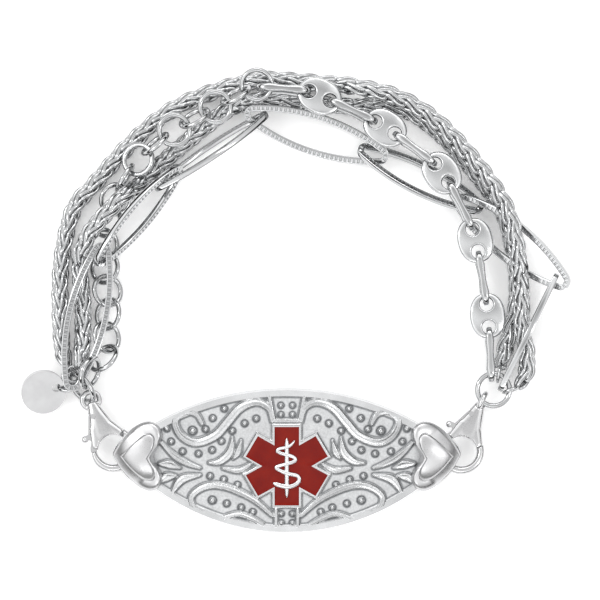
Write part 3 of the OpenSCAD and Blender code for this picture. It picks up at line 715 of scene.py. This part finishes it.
def clasp_shell(turn):
    """The cast body with its hook and eye, the lever's slot cut out, and all edges tumbled."""
    parts = []
    for p, q, r0, r1 in CLASP_BARS:
        for t in np.linspace(0, 1, 12):
            spot = np.array(p) * (1 - t) + np.array(q) * t
            wide = r0 * (1 - t) + r1 * t
            parts.append(blob([*spot, 0], wide, min(0.7 + 0.42 * wide, CLASP_THICK / 2 + 0.3)))
    points, faces = joined(parts)
    # The two faces are pressed nearly flat, with full round edges
    points[:, 2] = CLASP_THICK / 2 * np.tanh(1.15 * points[:, 2] / CLASP_THICK * 2)
    shell = rough_object(points, faces)
    remesh(shell, ROUGH_GRAIN)
    circle = np.radians(np.arange(0, 360, 5))
    cuts = [prism(HOOK_MID + HOOK_HOLE * np.stack([np.cos(circle), np.sin(circle)], 1), 3)]
    cuts += [prism(bar_outline(*row), LEVER_ROOM / 2) for row in LEVER_SLOT]
    for points, faces in cuts:
        tool = rough_object(points, faces)
        cut = shell.modifiers.new("cut", "BOOLEAN")
        cut.operation, cut.solver, cut.object = "DIFFERENCE", "MANIFOLD", tool
        settle(shell)
        bpy.data.objects.remove(tool)
    parts = [mesh_parts(shell)]
    for a in np.radians(np.linspace(HOOK_TIP, HOOK_ROOT, 60)):
        tip = min(1, 0.75 + 0.5 * (a - math.radians(HOOK_THIN)))
        spot = [HOOK_MID[0] + HOOK_RAD * math.cos(a), HOOK_MID[1] + HOOK_RAD * math.sin(a), 0]
        parts.append(blob(spot, HOOK_WIRE / 2 * tip + 0.02, HOOK_WIRE / 2 + 0.04))
    c, s = math.cos(math.radians(turn)), math.sin(math.radians(turn))
    for a in np.radians(np.arange(0, 360, 12)):
        x, y = EYE_RAD * math.cos(a), EYE_RAD * math.sin(a)
        parts.append(blob([x, y * c, y * s], EYE_WIRE / 2, EYE_WIRE / 2))
    bpy.data.objects.remove(shell)
    shell = rough_object(*joined(parts))
    remesh(shell, FINE_GRAIN)
    tumble = shell.modifiers.new("tumble", "SMOOTH")
    tumble.factor, tumble.iterations = 0.5, 5
    settle(shell)
    points, faces = mesh_parts(shell)
    bpy.data.objects.remove(shell)
    return points, faces


for side, (x, y, z, way, turn) in CLASP_PLACES.items():
    points, faces = clasp_shell(turn)
    c, s = math.cos(math.radians(way)), math.sin(math.radians(way))
    points = points @ np.array([[c, s, 0], [-s, c, 0], [0, 0, 1]]) + np.array([x, y, z]) + MIDDLE
    add_piece(f"clasp_cast_{side}", points, faces, clasp_steel,
              [f"clasp_body_{side}"])
    for part in ("lever", "rivet"):
        show_node(f"clasp_{part}_{side}", clasp_steel)

# ------------ rings and tag
# Round wire of stainless steel, cut, bent and soldered shut. The small tag is a stamped disc
# with a rounded edge, polished flat and left blank.


def mesh_axes(name):
    """A node's middle in mm, its long, middle and short axes, and its half reach along each."""
    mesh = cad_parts[name].data
    spots = np.array([v.co[:] for v in mesh.vertices]) * 1000
    mesh.calc_loop_triangles()
    tris = spots[np.array([t.vertices[:] for t in mesh.loop_triangles])]
    area = np.linalg.norm(np.cross(tris[:, 1] - tris[:, 0], tris[:, 2] - tris[:, 0]), axis=1) / 2
    mids = tris.mean(1)
    centre = (mids * area[:, None]).sum(0) / area.sum()
    tris = tris - centre
    spread = sum(np.einsum("n,ni,nj->ij", area, tris[:, k], tris[:, k]) for k in range(3))
    spread += 9 * np.einsum("n,ni,nj->ij", area, mids - centre, mids - centre)
    axes = np.linalg.eigh(spread)[1].T[::-1]
    reach = [abs((spots - centre) @ a).max() for a in axes]
    return centre, axes, reach


def wire_ring(name, wire):
    """A round ring in the place of a node that is one."""
    centre, axes, reach = mesh_axes(name)
    steps = 56
    a = 2 * math.pi * np.arange(steps) / steps
    rad = (reach[0] + reach[1]) / 2 - wire / 2
    path = centre + rad * (np.cos(a)[:, None] * axes[0] + np.sin(a)[:, None] * axes[1])
    return sweep(path, wire / 2, wire / 2, axes[2], closed=True, sides=14)


# Drawn wire polished in a barrel: mirror bright, with thin dark lines along its sides
chain_steel = polished_steel("polished_wire_steel", "#bebfc0", 0.12)
for name, wire in (("gather_ring_left", 0.75), ("gather_ring_right", 0.75), ("tag_ring", 0.5)):
    points, faces = wire_ring(name, wire)
    add_piece(name + "_wire", points, faces, chain_steel, [name])
# Rolled sheet, stamped and polished: a flat, slightly hazy mirror
tag_steel = polished_steel("stamped_tag_steel", "#bebebf", 0.16)
show_node("round_tag", tag_steel)

# ------------ wheat chains
# A wheat chain is plaited: four columns of bent wire links, each hooked through two others, so
# that every side shows a plait like an ear of wheat. A single ring closes each end.

# Middle lines of the chains in mm, from the left end to the right, as in the source
OUTER_WAY = [[-31.95, -10.1, 2.05], [-32.9, -7, 1.4], [-33.3, 0, 1.3], [-33, 6, 1.3],
             [-31.5, 12.5, 1.3], [-28.5, 16.2, 1.3], [-23.6, 21.8, 1.3], [-18, 26.5, 1.3],
             [-12, 29.2, 1.3], [-5.6, 30.8, 1.4], [0, 30.6, 1.4], [3.5, 30.2, 1.7],
             [8, 29.4, 3.6], [14, 27.7, 4], [19.5, 24, 4], [25, 17.6, 4.9], [28.4, 12, 6.1],
             [29.9, 6.3, 6.1], [30.5, 0.8, 4.8], [30.7, -4.5, 3.9], [31.3, -8, 3.4],
             [31.2, -10.6, 3], [30.1, -12.5, 2.65]]
INNER_WAY = [[-30.7, -9.8, 2.65], [-30.1, -7, 2.3], [-30, -4, 2], [-30.1, 0, 1.9],
             [-30.5, 4, 2.3], [-30.1, 6.6, 3.7], [-28.6, 9.4, 4.3], [-24.8, 13.6, 4.2],
             [-22.8, 15.3, 2.8], [-20.9, 17.3, 1.6], [-18.4, 19.8, 1.3], [-14.2, 23.4, 1.3],
             [-10.2, 26.5, 1.3], [-7.6, 27.5, 1.3], [-5, 28, 1.3], [-2.4, 28, 1.3],
             [2.5, 27.4, 1.3], [7, 27.1, 1.3], [13.9, 26.8, 1.3], [19.4, 23.3, 1.3],
             [24.8, 17.2, 1.3], [28.2, 12, 1.3], [29.6, 6.8, 1.3], [30.1, 2, 1.3],
             [29.8, -1.8, 1.3], [29, -5, 1.3], [28.1, -7.9, 1.8], [27.6, -9.7, 2.55]]
# The single ring at each end: its place, and its turns about z, y and x in degrees
OUTER_ENDS = [[-31.75, -11, 2.1, 104, 0, 15], [29.1, -12.95, 2.6, 20, 0, 90]]
INNER_ENDS = [[-31.3, -10.75, 2.8, 57, -8, 5], [27.4, -10.75, 2.85, 80, 0, 90]]
WHEAT_PITCH, WHEAT_WIRE = 2.9, 0.6
END_RAD, END_WIRE = 1.075, 0.45
# One arm of a folded link: away from the chain's middle, across, way along, and the turn in
# degrees with which it leans out of the plait's middle line
WHEAT_ARM = [[0.0, 0.28, -0.05, 38], [0.45, 0.29, 0.0, 38], [0.82, 0.3, 0.25, 36],
             [0.95, 0.3, 0.8, 28], [0.97, 0.32, 1.4, 16], [0.95, 0.38, 1.95, 4],
             [0.86, 0.43, 2.45, -5], [0.74, 0.4, 2.85, -10], [0.64, 0.26, 3.1, -12],
             [0.6, 0.0, 3.18, -12]]


def way_gone(path):
    """How far along a line each of its points lies."""
    return np.concatenate([[0], np.cumsum(np.linalg.norm(np.diff(path, axis=0), axis=1))])


def wheat_chain(name, way, ends, node, roll):
    """The plait along a way; its links turn with the way and thin out at the ends."""
    path = smooth(np.array(way) + MIDDLE, 10)
    gone = way_gone(path)
    ahead = unit(np.gradient(path, axis=0))
    arm = smooth(WHEAT_ARM, 2)
    half = np.concatenate([arm, arm[-2::-1] * [1, -1, 1, 1]])
    link = np.concatenate([half[:-1], half[:-1] * [-1, -1, 1, 1]])
    parts = []
    for i in range(-2, int(2 * gone[-1] / WHEAT_PITCH) + 2):
        s = i * WHEAT_PITCH / 2 + link[:, 2]
        if s.min() < -1.0 or s.max() > gone[-1] + 1.0:
            continue
        spot = np.stack([np.interp(s, gone, path[:, k]) for k in range(3)], -1)
        t = unit(np.stack([np.interp(s, gone, ahead[:, k]) for k in range(3)], -1))
        flat = unit(np.cross([0, 0, 1.0], t))
        rise = np.cross(t, flat)
        # Every second link stands a quarter turn round the chain
        turn = np.radians(roll + (90 - link[:, 3] if i % 2 else link[:, 3]))[:, None]
        girth = np.clip(0.6 + 0.16 * np.minimum(s, gone[-1] - s), 0.5, 1)[:, None]
        away = np.cos(turn) * flat + np.sin(turn) * rise
        across = -np.sin(turn) * flat + np.cos(turn) * rise
        centre_line = spot + girth * (link[:, :1] * away + link[:, 1:2] * across)
        parts.append(sweep(centre_line, WHEAT_WIRE / 2, WHEAT_WIRE / 2, away + 0.01 * t,
                           closed=True, sides=10))
    for row in ends:
        turn = np.array(Matrix.Rotation(math.radians(row[3]), 3, "Z")
                        @ Matrix.Rotation(-math.radians(row[4]), 3, "Y")
                        @ Matrix.Rotation(math.radians(row[5]), 3, "X"))
        a = 2 * math.pi * np.arange(36) / 36
        ring = END_RAD * np.stack([np.cos(a), np.sin(a), 0 * a], 1) @ turn.T
        parts.append(sweep(ring + np.array(row[:3]) + MIDDLE, END_WIRE / 2, END_WIRE / 2,
                           turn[:, 2], closed=True, sides=10))
    points, faces = joined(parts)
    add_piece(name, points, faces, chain_steel, [node])


wheat_chain("wheat_plait_outer", OUTER_WAY, OUTER_ENDS, "wheat_chain_outer", 40)
wheat_chain("wheat_plait_inner", INNER_WAY, INNER_ENDS, "wheat_chain_inner", 50)

# ------------ marquise links
# Long pointed links are cut from flat steel strip: plain polished sides, and a ladder of small
# bars rolled into both flat faces between two fine edges.

MARQUISE_WID, MARQUISE_WIRE, MARQUISE_THICK, MARQUISE_TIP = 5.9, 0.85, 0.75, 1.35
# Pitch of the ladder, rows of points to a bar and its gap, and how deep each lies
LADDER_PITCH, LADDER_ROWS, BAR_ROWS, BAR_DIP, GAP_DIP = 0.62, 6, 4, 0.02, 0.13


def lens_ring(length, width, tip, border):
    """A closed line of close points on a lens with rounded ends."""
    reach, rise = length / 2 - tip, width / 2
    rad = (reach ** 2 + rise ** 2 - tip ** 2) / (2 * (rise - tip))
    turn = math.atan2(rad - rise, reach)
    pieces = [((reach, 0), tip, -turn, turn), ((0, rise - rad), rad, turn, math.pi - turn),
              ((-reach, 0), tip, math.pi - turn, math.pi + turn),
              ((0, rad - rise), rad, math.pi + turn, 2 * math.pi - turn)]
    arcs = []
    for mid, r, a0, a1 in pieces:
        a = np.linspace(a0, a1, 200)[:-1]
        arcs.append(np.array(mid) + (r - border) * np.stack([np.cos(a), np.sin(a)], 1))
    return np.concatenate(arcs + [arcs[0][:1]])


def right_way(faces, axes):
    """Faces turned over where a node's axes are left-handed."""
    if np.dot(np.cross(axes[0], axes[1]), axes[2]) < 0:
        return [f[::-1] for f in faces]
    return faces


def marquise_link(index):
    """One link: a squared strip whose faces carry the ladder."""
    node = f"marquise_link_{index}"
    centre, axes, reach = mesh_axes(node)
    ring = lens_ring(2 * reach[0], MARQUISE_WID, MARQUISE_TIP, MARQUISE_WIRE / 2)
    gone = way_gone(ring)
    steps = int(gone[-1] / LADDER_PITCH) * LADDER_ROWS
    s = np.arange(steps) / steps * gone[-1]
    centre_line = np.stack([np.interp(s, gone, ring[:, k]) for k in (0, 1)], 1)
    ahead = unit(np.roll(centre_line, -1, 0) - np.roll(centre_line, 1, 0))
    out = np.stack([ahead[:, 1], -ahead[:, 0]], 1)
    notch = np.where(np.arange(steps) % LADDER_ROWS < BAR_ROWS, BAR_DIP, GAP_DIP)
    w, t = MARQUISE_WIRE / 2, MARQUISE_THICK / 2
    # The strip's outline from its outer side over the top: across, over, and 1 on the ladder
    upper = [(w, 0, 0), (w, t - 0.1, 0), (w - 0.03, t - 0.03, 0), (w - 0.1, t, 0),
             (w - 0.19, t, 0), (w - 0.21, t, 1), (0, t, 1), (-w + 0.21, t, 1),
             (-w + 0.19, t, 0), (-w + 0.1, t, 0), (-w + 0.03, t - 0.03, 0), (-w, t - 0.1, 0)]
    profile = upper + [(-a, -o, d) for a, o, d in upper]
    sides = len(profile)
    points = np.zeros((steps, sides, 3))
    for k, (across, over, dip) in enumerate(profile):
        flat = centre_line + out * across
        z = over - np.sign(over) * dip * notch
        points[:, k] = (centre + flat[:, :1] * axes[0] + flat[:, 1:] * axes[1]
                        + z[:, None] * axes[2])
    faces = right_way(net_faces(steps, sides, closed=True, over=True), axes)
    add_piece(f"marquise_strip_{index}", points.reshape(-1, 3), faces, chain_steel,
              [node], sharp=35)


for index in range(1, 8):
    marquise_link(index)

# ------------ cable links
# The left half of the fourth strand is a cable chain of round wire rings, each closed with a
# soldered joint.

CABLE_WIRE = 0.7
for index in range(1, 18):
    points, faces = wire_ring(f"cable_link_{index}", CABLE_WIRE)
    add_piece(f"cable_ring_{index}", points, faces, chain_steel,
              [f"cable_link_{index}"])

# ------------ puffed discs and connectors
# The right half of that strand is of puffed ovals, stamped from sheet and domed on both faces,
# with two punched holes. Flattened wire loops with two swellings hold them together.

DISC_LEN, DISC_WID, DISC_THICK, DISC_EDGE = 6.3, 5.0, 1.3, 0.55
DISC_HOLE, DISC_RIM = 1.8, 0.65
HOLE_RAD = DISC_HOLE / 2
HOLE_MIDS = (-(DISC_LEN / 2 - DISC_RIM - HOLE_RAD), DISC_LEN / 2 - DISC_RIM - HOLE_RAD)
# Rounded edge: mm in from the edge, and share of the dome's height; the holes' is narrower
EDGE_RINGS = [(0.0, 0.0), (0.01, 0.3), (0.05, 0.6), (0.12, 0.82), (0.22, 0.95), (0.34, 1.0)]
HOLE_SHARE = 0.7


def disc_loops():
    """Flat rings from the disc's edge inwards, and from each hole outwards."""
    a = 2 * math.pi * np.arange(96) / 96
    c, s = np.cos(a), np.sin(a)
    # A little fuller than an ellipse
    edge = np.stack([np.sign(c) * abs(c) ** 0.9 * DISC_LEN / 2,
                     np.sign(s) * abs(s) ** 0.9 * DISC_WID / 2], 1)
    loops = [[edge * (1 - inset / np.hypot(*edge.T)[:, None]) for inset, _ in EDGE_RINGS]]
    t = 2 * math.pi * np.arange(40) / 40
    rads = [HOLE_RAD + HOLE_SHARE * inset for inset, _ in EDGE_RINGS]
    for mid in HOLE_MIDS:
        loops.append([np.stack([mid + rad * np.cos(t), rad * np.sin(t)], 1) for rad in rads])
    return loops


def domed_field(rims):
    """Flat points and triangles of the field between the last rings."""
    step = 0.22
    xs, ys = np.arange(-3, 3.01, step), np.arange(-2.4, 2.41, step)
    grid = np.stack(np.meshgrid(xs, ys, indexing="ij"), -1).reshape(-1, 2)
    far = np.min([np.hypot(*(grid[:, None] - rim[None]).transpose(2, 0, 1)).min(1)
                  for rim in rims], axis=0)
    flat = np.concatenate(rims + [grid[far > 0.12]])
    bonds, start = [], 0
    for rim in rims:
        bonds += [(start + k, start + (k + 1) % len(rim)) for k in range(len(rim))]
        start += len(rim)
    made = delaunay_2d_cdt([Vector(p) for p in flat], bonds, [], 0, 1e-6)
    spots = np.array([tuple(p) for p in made[0]])
    tris = np.array([f for f in made[2] if len(f) == 3])
    # Only the triangles inside the edge's ring and outside both holes stay
    mids = spots[tris].mean(1)
    rim = rims[0]
    ways = np.append(np.arctan2(rim[:, 1], rim[:, 0]) % (2 * math.pi), 2 * math.pi)
    reach = np.append(np.hypot(*rim.T), np.hypot(*rim[0]))
    way = np.arctan2(mids[:, 1], mids[:, 0]) % (2 * math.pi)
    inside = np.hypot(*mids.T) < np.interp(way, ways, reach)
    for mid in HOLE_MIDS:
        least = HOLE_RAD + HOLE_SHARE * EDGE_RINGS[-1][0] - 0.01
        inside &= np.hypot(mids[:, 0] - mid, mids[:, 1]) > least
    return spots, tris[inside].tolist()


def disc_face(flat, share, sign):
    """Flat points lifted to a share of the dome's height, on the upper or lower face."""
    sag = (DISC_THICK - DISC_EDGE) / 2
    ball = (DISC_LEN ** 2 / 4 + sag ** 2) / (2 * sag)
    dome = np.sqrt(ball ** 2 - (flat ** 2).sum(1)) - ball + DISC_THICK / 2
    return np.column_stack([flat, sign * dome * share])


def disc_shape():
    """Points and faces of one disc: domed faces, a round edge, and holes with rounded lips."""
    loops = disc_loops()
    field, tris = domed_field([rings[-1] for rings in loops])
    points, faces, start = [], [], 0
    for sign in (1, -1):
        for number, rings in enumerate(loops):
            n = len(rings[0])
            points += [disc_face(ring, share, sign)
                       for ring, (_, share) in zip(rings, EDGE_RINGS)]
            for quad in net_faces(len(rings), n):
                face = [start + v for v in quad]
                faces.append(face if (sign > 0) == (number == 0) else face[::-1])
            start += n * len(rings)
        points.append(disc_face(field, 1.0, sign))
        faces += [[start + v for v in (f if sign > 0 else f[::-1])] for f in tris]
        start += len(field)
    return np.concatenate(points), faces


def welded(points, faces):
    """Joins points that lie in one place."""
    keys, back = np.unique(np.round(points, 5), axis=0, return_inverse=True)
    back = back.reshape(-1)
    return keys, [[int(back[v]) for v in face] for face in faces]


disc_points, disc_faces = welded(*disc_shape())
# Sheet pressed to a dome and polished: bright, with a soft shade towards the edge
disc_steel = polished_steel("domed_disc_steel", "#cfd0d1", 0.14, 0.12)
for index in range(1, 6):
    centre, axes, reach = mesh_axes(f"puffed_disc_{index}")
    add_piece(f"puffed_oval_{index}", centre + disc_points @ axes, right_way(disc_faces, axes),
              disc_steel, [f"puffed_disc_{index}"])

BOW_LEN, BOW_HIGH, BOW_WIRE = 7.7, 2.8, 0.6
# The loop's width: distance from its middle in shares of its length, and the width there in mm
BOW_SIDE = [[0, 0.9], [0.12, 1.0], [0.25, 1.2], [0.4, 0.85], [0.5, 0.8]]


def connector(index):
    """A long loop of flattened wire that stands on its edge."""
    node = f"waisted_link_{index}"
    centre, axes, reach = mesh_axes(node)
    high = BOW_HIGH / 2 - BOW_WIRE / 2
    straight = BOW_LEN / 2 - BOW_HIGH / 2
    t = np.radians(np.linspace(-90, 90, 17))
    right = np.stack([straight + high * np.cos(t), high * np.sin(t)], 1)
    bar = np.linspace(straight, -straight, 20)[1:-1]
    top = np.stack([bar, np.full(len(bar), high)], 1)
    line = np.concatenate([right, top, -right, -top])
    path = centre + line[:, :1] * axes[0] + line[:, 1:] * axes[1]
    share = abs(line[:, 0]) / BOW_LEN
    wide = np.interp(share, [r[0] for r in BOW_SIDE], [r[1] for r in BOW_SIDE]) / 2
    points, faces = sweep(path, BOW_WIRE / 2, wide, axes[2], closed=True, sides=14, square=0.75)
    add_piece(f"connector_{index}", points, faces, chain_steel, [node])


for index in range(1, 7):
    connector(index)
